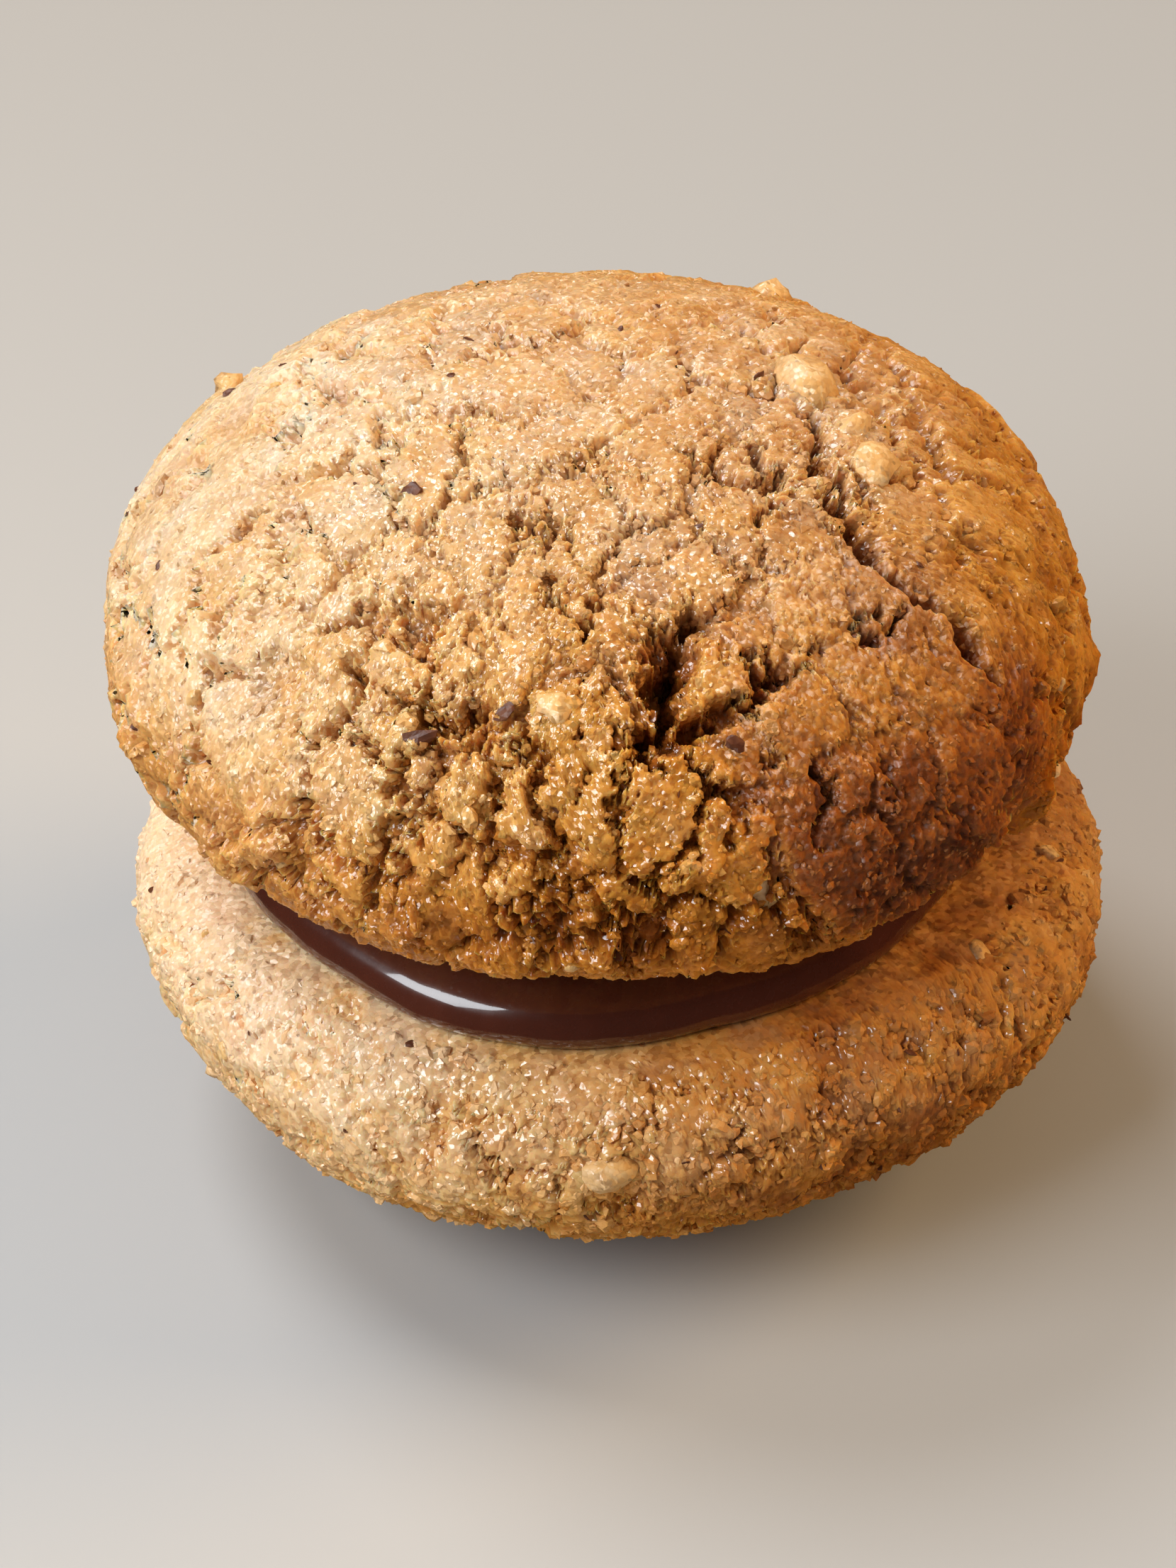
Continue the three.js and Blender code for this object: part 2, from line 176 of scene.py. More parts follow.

# What the crumb's finish reads at each point of a piece, and how the relief and the zones set it. Much of
# it is painted light and shade: darker in the hollows, on the side away from the light and where the crumb
# faces down, a richer brown in shade, a paler sheen where light falls and a glow on the crag rims.
CRUMB_FACTS = ("tone", "sunk", "dull", "baked", "pale", "rich")
# The rim lightens the crumb: a painted glow of light through the thin crag edges.
TONE = SimpleNamespace(start=0.2, crag=0.3, clump=0.25, grain=0.12, rim=0.25)
# sunk paints shade: the cracks, grooves, crevices and pits come out darker, richer and less pale.
SUNK = SimpleNamespace(
    crack_depths=(0.1, 1.2), groove=0.65, crevice=0.4, pit=0.5, less_pale=0.75, more_rich=0.5)
DULL = SimpleNamespace(plate=0.85, back=0.5)
# Painted light and shade by zone: darker and richer where the crumb faces down or away from the light, paler
# where the light falls. The upper plate is also a little darker of its own.
TOP_TINT = SimpleNamespace(
    dark_low=0.3, dark_leans=(74, 96), dark_plate=0.1, dark_low_plate=0.6, low_plate_leans=(54, 80),
    rich_right_shade=0.25, rich_columns=0.15, rich_low=0.75, rich_leans=(60, 90), rich_low_plate=0.6,
    pale_left=0.9, pale_from=(0, 15), pale_top=0.75, pale_leans=(18, 60),
    less_pale=0.7, less_pale_leans=(70, 90))
LOWER_TINT = SimpleNamespace(
    clumps=0.25, side=0.65, even_at=0.62, under_leans=(68, 112), dark_under=0.15,
    dark_right=0.3, right_start=(1, 7), right_end=(11, 15),
    rich=0.3, rich_right_shade=0.3, rich_under=0.45, pale=0.25, pale_left=0.75, less_pale_under=0.75)

# The crumb's colours, from the bottom of a crack, dark with painted shade, to the palest grain, and the size
# and tilt of its glinting facets.
CRUMB_STOPS = [
    (0.0, (0.12, 0.030, 0.003)),
    (0.25, (0.36, 0.12, 0.014)),
    (0.5, (0.59, 0.26, 0.042)),
    (0.7, (0.72, 0.37, 0.09)),
    (0.85, (0.82, 0.50, 0.19)),
    (1.0, (0.87, 0.63, 0.38)),
]
PATCH_STOPS = [(0.2, (0.27, 0.085, 0.018)), (0.6, (0.57, 0.255, 0.07)), (1.0, (0.79, 0.50, 0.24))]
PATCH = SimpleNamespace(size=1.3, over=0.56, share=0.5)
# Painted sheen: a paler colour mixed in by pale, in patches, where the light falls on the crumb.
PAINTED_SHEEN_PATCH = SimpleNamespace(size=2.6, share=0.9, less=0.05)
# Multiplied in by rich: mostly a richer brown of painted shade, partly the lower biscuit's own warmer tint.
RICH_BROWN = (1.0, 0.80, 0.52, 1)
SPECK = SimpleNamespace(spacing=0.7, radius=0.11, share=0.4, colour=(0.14, 0.05, 0.015, 1))
# How light the crumb is. The sunk hollows and the right side, away from the light, are darker: painted
# shade.
SHADE = SimpleNamespace(
    middle=0.62, tone=0.45, mottle=0.6, mottle_size=2.2, fine=0.14, fine_size=0.3, sunk=0.36, baked=0.24,
    even_at=0.4)
CRUMB_GLOSS = SimpleNamespace(least=0.1, fine=0.2, dull=0.35, specular=1.0)
CRUMB_LIGHT = SimpleNamespace(radius=(1.0, 0.6, 0.3), scale=0.0006)
DULL_GRAIN = SimpleNamespace(height=0.1, spacing=0.28)
CRUST_GLOW, NUT_GLOW = 0.55, 0.1
TOP.facet, LOWER.facet = 0.15, 0.19
TOP.glint, LOWER.glint = 1.1, 0.8
# The colour of each biscuit's painted sheen.
TOP.veil, LOWER.veil = (0.87, 0.72, 0.54), (0.90, 0.64, 0.47)
TOP.browned, LOWER.browned = 0.0, -0.12
TOP.grains_browned, LOWER.grains_browned = -0.05, -0.16
NUT_BROWNED = -0.25
# Nut chips take fixed shares of the crumb's painted shade, sheen and richer brown.
NUT_FACTS = {"baked": 0.5, "pale": 0.2, "dull": 0.5, "rich": 0.3}
NUT_TONE = SimpleNamespace(least=0.45, span=0.1)

# Nut skin and chocolate.
SKIN_STOPS = [(0.0, (0.08, 0.022, 0.009)), (1.0, (0.24, 0.08, 0.03))]
SKIN = SimpleNamespace(fine_size=0.16, mottle=0.3, rough=0.3, rough_fine=0.3, bump=0.5, bump_depth=0.05)
SKIN_TONE = SimpleNamespace(least=0.0, span=0.5)
CHOCOLATE_STOPS = [(0.25, (0.055, 0.013, 0.007)), (0.75, (0.085, 0.020, 0.010))]
CHOCOLATE = SimpleNamespace(
    cloud_size=3.0, fine_size=0.35, rough=0.22, rough_fine=0.1, specular=0.3, coat=0.9, coat_fine=0.1,
    coat_rough=0.06, coat_ior=1.6, ripple=0.08, bump=0.15, bump_depth=0.2)

# The filling. Its side runs from a tucked-in bottom edge up, as (inset in feet, share of the thickness).
FILLING = SimpleNamespace(
    radius=13.4, foot=0.7, tuck=0.25, lean_share=0.04, lean_azimuth=-120, lobe_share=0.06, lobe_azimuth=-104,
    lobe_width=20, ripple_share=0.005, ripples=5, side_points=48, flat_points=6, round_points=420)
FILLING.side = [(0, 0.12), (0.1, 0.28), (0.5, 0.42), (1.4, 0.55), (2.5, 0.7), (3.5, 1)]
FILLING.wavers = [(0.09, 3.2, 301), (0.04, 1.1, 302)]

# The floor and the sky. A sun is (name, the way to it, angle across in radians, strength, colour, seen in
# gloss).
FLOOR = SimpleNamespace(metres=6, colour=(0.42, 0.41, 0.40, 1), roughness=0.7)
SKY = SimpleNamespace(colour=(1.0, 0.97, 0.93, 1), strength=0.25)
SUNS = [
    ("above", (-80, 80, 180), 0.46, 1.85, (0.94, 0.97, 1.0), True),
    ("warm_side", (150, 40, 96), 0.6, 2.35, (1.0, 0.68, 0.32), False),
]
WINDOW = SimpleNamespace(
    place=(-155, -95, 155), aim=(0, 0, 14), width=135, watts=0.5, colour=(0.91, 0.96, 1.0))

# The photograph's camera, in millimetres, degrees and pixels of its 1659 by 2212 frame, with its clip in
# metres.
CAMERA = SimpleNamespace(
    target=(-0.675, 0.2, 11.16), distance=119, elevation=37.19, roll=0.63, focal_pixels=4674, long_side=2212,
    sensor=36, clip=(0.005, 20))


def fade(x, low, high):
    """A smooth step from 0 at low to 1 at high."""
    t = np.clip((x - low) / (high - low), 0, 1)
    return t * t * (3 - 2 * t)


def lattice_random(i, j, k, channel):
    """A repeatable number from 0 to 1 for whole numbers i, j, k: their products with large odd numbers,
    mixed."""
    i, j, k = (np.asarray(n).astype(np.int64).astype(np.uint32) for n in (i, j, k))
    h = i * np.uint32(0x8DA6B343) ^ j * np.uint32(0xD8163841) ^ k * np.uint32(0xCB1AB31F)
    h = h ^ np.uint32(channel * 0x165667B1 & 0xFFFFFFFF)
    h = (h ^ (h >> 15)) * np.uint32(0x2C1B3C6D)
    h = (h ^ (h >> 12)) * np.uint32(0x297A2D39)
    return (h ^ (h >> 15)) / 2.0**32


def smooth_noise(p, size, channel):
    """Noise from -1 to 1: random values on a lattice of that size, blended by a smooth step along each
    axis."""
    cell = np.floor(p / size)
    share = fade(p / size - cell, 0, 1)
    total = np.zeros(len(p))
    for corner in range(8):
        step = np.array([corner & 1, corner >> 1 & 1, corner >> 2])
        weight = np.prod(np.where(step, share, 1 - share), axis=1)
        total += weight * lattice_random(*(cell + step).T, channel)
    return 2 * total - 1


def wander(p, reach, size, channel):
    """Each point shifted by up to reach along each axis, by three smooth noises of that size."""
    return p + reach * np.stack([smooth_noise(p, size, channel + axis) for axis in (1, 2, 3)], axis=1)


def cells(p, size, channel, stretch=1.0):
    """The cells nearest to one scattered point each, narrowed by stretch along X. Gives each point's cell
    as a random number, its way from the cell's middle and its distance from the cell's edge, both as a
    share of size."""
    q = p * (stretch, 1, 1) / size
    home = np.floor(q).astype(np.int64)
    nearest = np.full(len(p), np.inf)
    second = np.full(len(p), np.inf)
    level = np.zeros(len(p))
    way = np.zeros_like(q)
    for n in range(27):
        cell = home + (n % 3 - 1, n // 3 % 3 - 1, n // 9 - 1)
        middle = cell + np.stack([lattice_random(*cell.T, channel + axis) for axis in range(3)], axis=1)
        distance = np.linalg.norm(middle - q, axis=1)
        closer = distance < nearest
        second = np.where(closer, nearest, np.minimum(second, distance))
        level = np.where(closer, lattice_random(*cell.T, channel + 3), level)
        way = np.where(closer[:, None], q - middle, way)
        nearest = np.minimum(nearest, distance)
    return level, way, second - nearest


def plain_form(form, azimuth, lean):
    """Points and outward normals of a plain biscuit, face at z = 0 and dome up. To lean 90 the profile is
    a quarter ellipse of the radius and the dome, to 180 a quarter ellipse under the rim, and to 270 the
    flat face."""
    azimuth, lean = np.radians(azimuth), np.asarray(lean, float)
    on_dome = lean <= 90
    turn = np.radians(np.where(on_dome, lean, np.minimum(lean - 90, 90)))
    wide = np.where(on_dome, form.radius, form.radius - form.flat)
    high = np.where(on_dome, form.dome, form.rim)
    out = np.where(on_dome, np.sin(turn), np.cos(turn))
    up = np.where(on_dome, np.cos(turn), -np.sin(turn))
    inward = np.clip((270 - lean) / 90, 0, 1)
    r = np.where(on_dome, 0, form.flat) * inward + wide * out
    point = np.stack([r * np.cos(azimuth), r * np.sin(azimuth), form.rim + high * up], axis=-1)
    slope = np.hypot(out / wide, up / high)
    flat_out = out / wide / slope
    normal = np.stack([flat_out * np.cos(azimuth), flat_out * np.sin(azimuth), up / high / slope], axis=-1)
    return point, normal


def zones_of(form, p, lean):
    """How far each point is in each zone, from 0 to 1: a smooth step along an axis or in lean and azimuth,
    and on the plate a smooth step with the distance from its middle. The calm side reaches only its own
    share."""
    azimuth = np.degrees(np.arctan2(p[:, 1], p[:, 0]))
    aside = fade(abs(azimuth - COLUMNS.azimuth), *COLUMNS.half_width)
    plate = np.zeros(len(p))
    if form is TOP:
        middle = plain_form(form, PLATE.azimuth, PLATE.lean)[0]
        plate = 1 - fade(np.linalg.norm(p - middle, axis=1), PLATE.middle, PLATE.reach)
    return SimpleNamespace(
        front=fade(-p[:, 1], *BACK_TO_FRONT),
        calm=LEFT_CALM * fade(-p[:, 0], *LEFT_SIDE),
        columns=fade(lean, *COLUMNS.leans) * (1 - aside),
        plate=plate,
        # Painted shade on the right side, away from the light.
        baked=fade(p[:, 0], *RIGHT_SHADE_SIDE),
    )


def edges_of(form, p):
    """Each point's grain, and the shifted points at which edges are drawn. ragged is shifted by two
    noises, and snap is a share of the way from the middle of the point's grain and chunk: an edge drawn at
    broken, which is ragged less snap, steps along whole grains."""
    c = form.channel
    grain_at = wander(p, *GRAIN_WANDER, c + DRAW.grain_wander)
    grain_level, grain_way, _ = cells(grain_at, form.grain_size, c + DRAW.grains)
    chunk_at = wander(p, *CHUNK_WANDER, c + DRAW.chunk_wander)
    _, chunk_way, _ = cells(chunk_at, CHUNK.size, c + DRAW.chunks)
    snap = GRAIN_SNAP * form.grain_size * grain_way + CHUNK.snap * CHUNK.size * chunk_way
    ragged = wander(wander(p, *EDGE_WANDER, c + DRAW.edges), *TEAR, c + DRAW.tears)
    return SimpleNamespace(
        grain_level=grain_level, grain_way=grain_way, snap=snap, ragged=ragged, broken=ragged - snap)


def crack_runs(form):
    """The form's own cracks and the seeded ones, each as (width, depth, corner points on the plain
    form)."""
    paths = list(form.cracks)
    start, end = form.crack_arc
    for n in range(form.more_cracks):
        roll = lattice_random(n, np.arange(4), 0, form.channel + DRAW.seeded_cracks)
        azimuth = start + (end - start) * (n + roll[0]) / form.more_cracks
        lean = SEEDED_CRACK.least_lean + SEEDED_CRACK.lean_span * roll[1]
        heading = np.pi * roll[2]
        far = (azimuth + SEEDED_CRACK.length * np.cos(heading), lean + SEEDED_CRACK.length * np.sin(heading))
        scale = SEEDED_CRACK.least_scale + SEEDED_CRACK.scale_span * roll[3]
        paths.append((SEEDED_CRACK.width * scale, SEEDED_CRACK.depth * scale, [(azimuth, lean), far]))
    return [(width, depth, plain_form(form, *np.array(path, float).T)[0]) for width, depth, path in paths]


def crack_cut(p, cracks, channel):
    """How deep the cracks cut at each point: a smooth step from full depth near the line to none, over a
    share of the half width, which wavers with a noise. Where cracks meet, the deepest counts."""
    cut = np.zeros(len(p))
    waver = CRACK_WIDTH.start + CRACK_WIDTH.waver * smooth_noise(p, CRACK_WIDTH.size, channel)
    waver = np.maximum(waver, CRACK_WIDTH.least)
    for width, depth, path in cracks:
        away = np.full(len(p), np.inf)
        for a, b in zip(path[:-1], path[1:]):
            along = np.clip((p - a) @ (b - a) / ((b - a) @ (b - a)), 0, 1)
            away = np.minimum(away, np.linalg.norm(p - a - along[:, None] * (b - a), axis=1))
        cut = np.maximum(cut, depth * (1 - fade(away / (width / 2 * waver), *CRACK_WIDTH.ends)))
    return cut


def cracks_of(form, lean, zone, edge):
    """Depth of the cracks, at points that two more noises shift and that step along the grains. They are
    shallower among the columns and on the calm side."""
    c = form.channel
    at = wander(edge.ragged, *CRACK_WANDER, c + DRAW.crack_wander)
    at = wander(at, *CRACK_TEAR, c + DRAW.crack_tears) - CRACK_SNAP * edge.snap
    cut = crack_cut(at, crack_runs(form), c + DRAW.crack_widths)
    shallow = COLUMNS.shallow * zone.columns * fade(lean, *COLUMNS.shallow_leans)
    return cut * ((1 - shallow) * (1 - zone.calm))


def lumps_of(form, p, lean, zone, edge):
    """Height of the broad lumps, a smooth noise. The upper biscuit also has a fringe low at its front: the
    upper half of a smaller noise, less a little, within a band of leans."""
    lump = LUMP.height * smooth_noise(p, LUMP.size, form.channel + DRAW.lumps)
    if form is TOP:
        band = fade(lean, *FRINGE.low) * (1 - fade(lean, *FRINGE.high)) * zone.front
        hanging = np.maximum(smooth_noise(edge.broken, FRINGE.size, form.channel + DRAW.fringe), 0)
        lump = lump + FRINGE.height * band * (hanging - FRINGE.less)
    return lump


def crags_of(form, p, lean, zone, edge):
    """Crags: cells that stand higher or lower by their own number and tilt at the front, rounded towards
    their edges, with a groove along the edge where a noise parts them. The rim is a band just inside a
    groove, which the finish lightens as a painted glow of light through the thin edge."""
    c = form.channel
    level, way, to_edge = cells(edge.broken, CRAG.size, c + DRAW.crags, CRAG.stretch)
    parted = PARTING.start + PARTING.waver * smooth_noise(p, PARTING.size, c + DRAW.parting)
    if form is TOP:
        parted += PARTING.columns * zone.columns + PARTING.low * fade(lean, *PARTING.low_leans)
    parted = np.clip(parted, 0, 1)
    groove = parted * (1 - fade(to_edge, *CRAG.groove_ends))
    height = CRAG.height * (level - 0.5) - CRAG.tilt * way[:, 2] * zone.front
    height -= CRAG.round * (1 - fade(to_edge, 0, CRAG.round_to)) + CRAG.groove * groove
    rough = form.crag * (CRAG.at_back + (1 - CRAG.at_back) * zone.front)
    rough *= 1 - (1 - PLATE.keeps) * zone.plate
    rim = parted * fade(to_edge, *CRAG.rim_start) * (1 - fade(to_edge, *CRAG.rim_end))
    return SimpleNamespace(height=rough * height, groove=rough * groove, level=level, rim=rim)


def clumps_of(form, p, zone, edge):
    """Clumps: small cells that stand higher or lower by their own number, with a crevice along the edge
    where a noise loosens them. They are bolder at the front, and less so on the plate and the calm
    side."""
    c = form.channel
    at = wander(edge.ragged, *CLUMP_TEAR, c + DRAW.clump_tears) - edge.snap
    level, _, to_edge = cells(at, form.clump_size, c + DRAW.clumps, CLUMP.stretch)
    loose = CLUMP.loose + CLUMP.loose_waver * smooth_noise(p, CLUMP.loose_size, c + DRAW.loosening)
    crevice = np.clip(loose, 0, 1) * (1 - fade(to_edge, *CLUMP.crevice_ends))
    height = CLUMP.height * (level - 0.5) - CLUMP.crevice * crevice
    bold = form.clumpy * (CLUMP.at_back + (1 - CLUMP.at_back) * zone.front)
    bold *= (1 - CLUMP.off_plate * zone.plate) * (1 - zone.calm)
    return SimpleNamespace(height=bold * height, crevice=bold * crevice, level=level)


def grains_of(form, zone, edge):
    """Height of the grains: a dome that falls with the square of the distance from the grain's middle,
    raised or sunk by the grain's own number, and a random grit at each point."""
    dome = 0.5 - np.sum(edge.grain_way**2, axis=1) + GRAIN_RELIEF.uneven * (edge.grain_level - 0.5)
    grit = lattice_random(np.arange(len(dome)), 0, 0, form.channel + DRAW.grit) - 0.5
    return GRAIN_RELIEF.height * dome * (1 - zone.calm) + GRIT * grit


def pits_of(form, zone, edge):
    """How far each point is in a pit, from 0 to 1: round hollows in the middle of some cells, deepest on
    the plate."""
    level, way, _ = cells(edge.broken, PIT.size, form.channel + DRAW.pits)
    hollow = 1 - fade(np.linalg.norm(way, axis=1), *PIT.ends)
    return form.pits * (PIT.off_plate + (1 - PIT.off_plate) * zone.plate) * (level < PIT.share) * hollow


def top_tints(p, lean, zone):
    """What the upper biscuit's zones add to its tone, and how pale and rich it is: darker and richer low at
    the front and low on the plate, as painted shade where the crumb faces down, and a little darker over the
    whole plate; richer on the right side, as painted shade, and on the columns; paler on the left and on
    top, as painted sheen where the light falls."""
    tint = TOP_TINT
    # Painted shade: darker and richer low at the front and low on the plate, where the crumb faces down.
    low_plate = zone.plate * fade(lean, *tint.low_plate_leans)
    tone = -tint.dark_low * fade(lean, *tint.dark_leans) * zone.front
    tone -= tint.dark_low_plate * low_plate + tint.dark_plate * zone.plate
    # Painted sheen: paler on the left and on top, where the light falls, and less so low at the front.
    pale = tint.pale_left * fade(-p[:, 0], *tint.pale_from)
    pale += tint.pale_top * (1 - fade(lean, *tint.pale_leans))
    pale *= 1 - tint.less_pale * fade(lean, *tint.less_pale_leans) * zone.front
    # Painted shade: richer on the right side and low down. The columns are richer too.
    rich = tint.rich_right_shade * zone.baked + tint.rich_columns * zone.columns
    rich += tint.rich_low * fade(lean, *tint.rich_leans) * zone.front + tint.rich_low_plate * low_plate
    return tone, pale, rich


def lower_tints(p, lean, zone, clump_level):
    """What the lower biscuit's zones add to its tone, and how pale and rich it is, mostly painted light and
    shade: lighter and paler on the left, where the light falls, darker and richer on the right, away from
    it, darker at the front right, darker, richer and less pale on the underside, with lighter and darker
    clumps."""
    tint = LOWER_TINT
    under = 1 - fade(lean, *tint.under_leans)
    right = fade(p[:, 0], *tint.right_start) * (1 - fade(p[:, 0], *tint.right_end))
    # Painted light and shade: lighter on the left, darker on the right, on the underside and at the front
    # right.
    tone = tint.clumps * (clump_level - 0.5) + tint.side * (tint.even_at - zone.baked)
    tone -= tint.dark_under * under + tint.dark_right * zone.front * right
    # Painted sheen, most on the lit left and least on the underside, and a richer brown of painted shade.
    pale = (tint.pale_left * (1 - zone.baked) + tint.pale) * (1 - tint.less_pale_under * under)
    rich = tint.rich + tint.rich_right_shade * zone.baked + tint.rich_under * under
    return tone, pale, rich


def crumb_relief(form, p, lean):
    """Height of the crumb over the plain form: lumps and crags less cracks, which end on the under-rim,
    and clumps and grains less pits, which end at the flat face. Also what the finish and the scattering
    read there."""
    zone, edge = zones_of(form, p, lean), edges_of(form, p)
    crags, clumps = crags_of(form, p, lean, zone, edge), clumps_of(form, p, zone, edge)
    cut, pit = cracks_of(form, lean, zone, edge), pits_of(form, zone, edge)
    broad = lumps_of(form, p, lean, zone, edge) + crags.height - cut
    fine = clumps.height + grains_of(form, zone, edge) - PIT.depth * pit
    height = (1 - fade(lean, *RELIEF_ENDS)) * broad + (1 - fade(lean, *FINE_RELIEF_ENDS)) * fine

    # Painted shade: sunk makes the hollows darker in the finish, and below it makes them richer and less
    # pale.
    deep = fade(cut, *SUNK.crack_depths) + SUNK.groove * crags.groove + SUNK.crevice * clumps.crevice
    sunk = np.clip(deep + SUNK.pit * pit, 0, 1)
    tone = TONE.start + TONE.crag * crags.level + TONE.clump * clumps.level
    # Painted glow: the rim beside a groove is lighter.
    tone += TONE.grain * edge.grain_level + TONE.rim * crags.rim
    if form is TOP:
        added, pale, rich = top_tints(p, lean, zone)
    else:
        added, pale, rich = lower_tints(p, lean, zone, clumps.level)
    facts = dict(
        tone=tone + added,
        sunk=sunk,
        dull=np.clip(DULL.plate * zone.plate + DULL.back * (1 - zone.front) + zone.calm, 0, 1),
        baked=zone.baked,
        pale=pale * (1 - SUNK.less_pale * sunk),
        rich=np.clip(rich + SUNK.more_rich * sunk, 0, 1),
        front=zone.front,
        calm=zone.calm,
        plate=zone.plate,
    )
    return height, facts


def to_frame(form, p):
    """Points of a form's own frame put where the biscuit is: turned over where the dome points down."""
    return p * (1, 1, form.up) + (form.x, form.y, form.face)


def ball_grid(count):
    """Unit directions of a square grid folded round a ball with equal areas, and its quads. With d = 1 -
    |u| - |v| and r = 1 - |d|, the height is 1 - r squared with d's sign, and the azimuth runs evenly round
    each ring of equal r. Points that the fold brings together are merged."""
    line = np.linspace(-1, 1, count)
    u, v = np.meshgrid(line, line, indexing="ij")
    d = 1 - abs(u) - abs(v)
    r = 1 - abs(d)
    turn = np.pi / 4 * (1 + (abs(v) - abs(u)) / np.maximum(r, 1e-9))
    out = r * np.sqrt(2 - r * r)
    x, y, z = np.sign(u) * out * np.cos(turn), np.sign(v) * out * np.sin(turn), np.sign(d) * (1 - r * r)
    way = np.stack([x, y, z], axis=-1).reshape(-1, 3)
    _, first, index = np.unique(np.round(way, 7), axis=0, return_index=True, return_inverse=True)
    index = index.reshape(count, count)
    quads = np.stack([index[:-1, :-1], index[1:, :-1], index[1:, 1:], index[:-1, 1:]], axis=-1)
    return way[first], quads.reshape(-1, 4)


def gathered(way, pull, front):
    """Directions drawn towards the front, where the crumb is boldest, by a rule that keeps small shapes:
    with the share along the front written a, it becomes (a + pull) / (1 + pull a), and the rest keeps its
    direction."""
    along = way @ front
    ahead = (along + pull) / (1 + pull * along)
    aside = way - along[:, None] * front
    length = np.maximum(np.linalg.norm(aside, axis=1), 1e-12)
    return aside * (np.sqrt(np.maximum(1 - ahead**2, 0)) / length)[:, None] + ahead[:, None] * front


def lean_of(form, fall):
    """The lean on the plain form for each fall down a ball: a step down the ball over its radius there
    equals the step along the form over the form's radius there, so that small shapes are kept."""
    step_size = 0.25
    lean = np.arange(step_size, 270, step_size)
    point = plain_form(form, 0.0, lean)[0]
    r = point[:, 0]
    step = np.linalg.norm(np.diff(point, axis=0), axis=1)
    total = np.concatenate([[0], np.cumsum(2 * step / (r[1:] + r[:-1]))])
    total += np.log(np.tan(np.radians(form.widest_fall) / 2)) - np.interp(90, lean, total)
    falls = np.degrees(2 * np.arctan(np.exp(total)))
    return np.interp(fall, np.r_[0, falls, 180], np.r_[0, lean, 270])


def crust_of(form):
    """The whole skin of one biscuit as arrays: points, quads and what the finish and the scattering read.
    Open is where loose things may lie: outside the flat face's edge and clear of the floor."""
    way, quads = ball_grid(CRUST_GRID)
    way = gathered(way, GRID_PULL, np.array(form.grid_front))
    azimuth = np.degrees(np.arctan2(way[:, 1], way[:, 0]))
    lean = lean_of(form, np.degrees(np.arccos(np.clip(way[:, 2], -1, 1))))
    p, normal = plain_form(form, azimuth, lean)
    height, facts = crumb_relief(form, p, lean)
    p = p + height[:, None] * normal
    p[:, 2] = np.maximum(p[:, 2], 0)
    p = to_frame(form, p)
    p[:, 2] = np.maximum(p[:, 2], 0)
    quads = quads if form.up > 0 else quads[:, ::-1]
    is_open = (lean < OPEN_TO) * (p[:, 2] > CLEAR_OF_FLOOR)
    return SimpleNamespace(points=p, quads=quads, normals=normal * (1, 1, form.up), open=is_open, **facts)


def make_piece(name, points, faces, finish, attributes=None, smooth=True):
    """A mesh piece from points in millimetres and faces with equally many corners, riding on the
    cookie."""
    mesh = bpy.data.meshes.new(name)
    mesh.vertices.add(len(points))
    mesh.vertices.foreach_set("co", (points * MM).astype(np.float32).ravel())
    mesh.loops.add(faces.size)
    mesh.loops.foreach_set("vertex_index", faces.astype(np.int32).ravel())
    mesh.polygons.add(len(faces))
    mesh.polygons.foreach_set("loop_start", np.arange(0, faces.size, faces.shape[1], dtype=np.int32))
    mesh.polygons.foreach_set("use_smooth", np.full(len(faces), smooth))
    for label, values in (attributes or {}).items():
        mesh.attributes.new(label, "FLOAT", "POINT").data.foreach_set("value", values.astype(np.float32))
    mesh.update(calc_edges=True)
    mesh.validate()
    mesh.materials.append(finish)
    piece = bpy.data.objects.new(name, mesh)
    bpy.context.scene.collection.objects.link(piece)
    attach(piece, "root")
    return piece


def places_on(crust, count, weight, rng):
    """Places on a crust: a quad is drawn with a chance that follows its area times its weight, then a
    point in it. Gives the points, the quads' normals and a corner of each quad."""
    a, b, c, d = (crust.points[crust.quads[:, n]] for n in range(4))
    across = np.cross(c - a, d - b)
    area = np.linalg.norm(across, axis=1)
    chance = np.cumsum(area * weight[crust.quads].mean(axis=1))
    pick = np.searchsorted(chance, rng.random(count) * chance[-1])
    s, t = rng.random((2, count, 1))
    point = (a[pick] * (1 - s) + b[pick] * s) * (1 - t) + (d[pick] * (1 - s) + c[pick] * s) * t
    return point, across[pick] / area[pick, None], crust.quads[pick, 0]


def chosen_places(form, rows):
    """Points, normals and sizes in the cookie's frame for rows of (size, azimuth, lean), on the finished
    crumb."""
    sizes, azimuth, lean = np.array(rows, float).T
    p, normal = plain_form(form, azimuth, lean)
    height, _ = crumb_relief(form, p, lean)
    return to_frame(form, p + height[:, None] * normal), normal * (1, 1, form.up), sizes


def lump_shape(splits):
    """Corners and triangles of a ball of 20 triangles, each split splits - 1 times."""
    ball = bmesh.new()
    bmesh.ops.create_icosphere(ball, subdivisions=splits, radius=0.5)
    corners = np.array([v.co for v in ball.verts])
    triangles = np.array([[v.index for v in f.verts] for f in ball.faces])
    ball.free()
    return corners, triangles


def standing_frames(normals, tilt, rng):
    """A turned frame for each normal: its third axis leans from the normal by a random vector of that
    length."""
    third = normals + tilt * rng.normal(size=normals.shape)
    third /= np.linalg.norm(third, axis=1)[:, None]
    first = np.cross(third, rng.normal(size=normals.shape))
    first /= np.linalg.norm(first, axis=1)[:, None]
    return np.stack([first, np.cross(third, first), third], axis=2)


